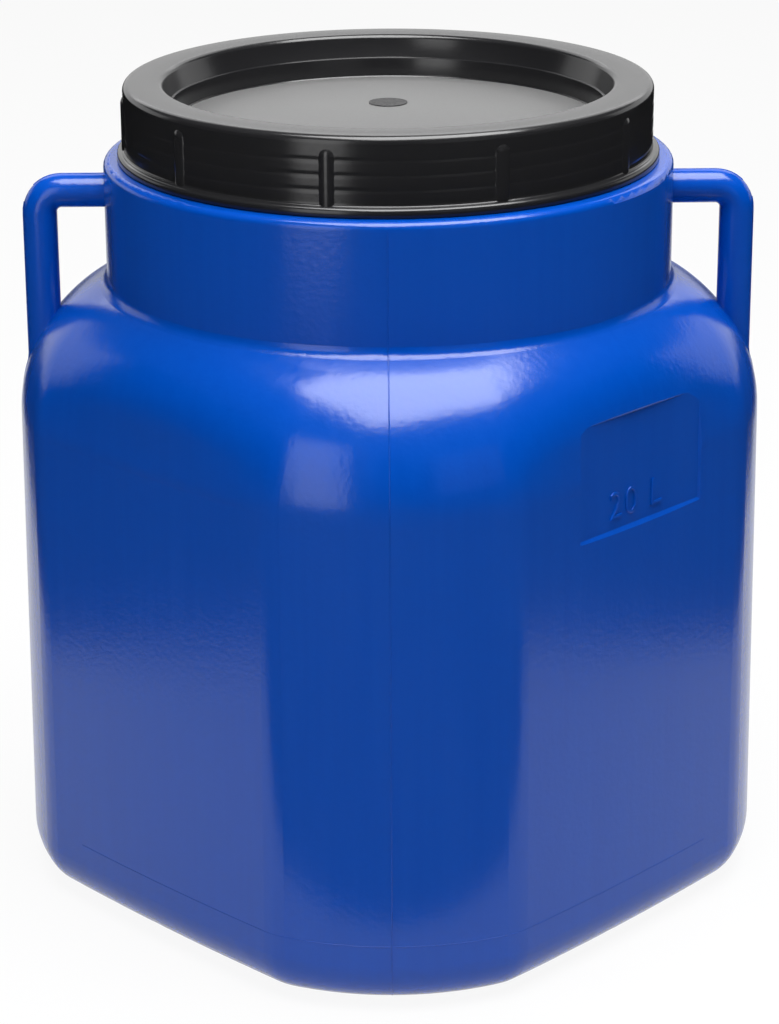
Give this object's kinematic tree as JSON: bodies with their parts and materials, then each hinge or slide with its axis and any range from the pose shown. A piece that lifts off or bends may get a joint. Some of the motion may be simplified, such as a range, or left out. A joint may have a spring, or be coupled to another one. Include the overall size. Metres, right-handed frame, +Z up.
{
  "type": "plastic barrel",
  "caption": "Square blow-moulded plastic barrel with rounded corners, round collar, wide threaded neck, side handles and a dished screw lid with a flat seal.",
  "frame": {"origin": "middle of the base, on the surface that the barrel stands on", "axes": "+Z up along the neck's axis, X through the two handles, a body corner faces -Y, and the label recess is on the side between +X and -Y"},
  "size_m": [0.3236, 0.3236, 0.3537],
  "materials": {
    "body_plastic": "semi-gloss blow-moulded polyethylene, saturated blue",
    "lid_plastic": "satin injection-moulded plastic, near black",
    "seal_rubber": "matt pale grey sealing ring"
  },
  "bodies": {
    "barrel": {"barrel_body": "body_plastic"},
    "seal": {"lid_seal": "seal_rubber"},
    "lid": {"screw_lid": "lid_plastic"}
  },
  "joints": [
    {"name": "lid_rise", "type": "slide", "parent": "barrel", "child": "seal", "axis": [0, 0, 1], "range_m": [0, 0.042]},
    {"name": "lid_turn", "type": "hinge", "parent": "seal", "child": "lid", "pos_m": [0, 0, 0.34], "axis": [0, 0, 1], "range_deg": [0, 2520]}
  ],
  "couplings": [
    {"joint": "lid_rise", "follows": "lid_turn", "m_per_rad": 0.00095493}
  ]
}
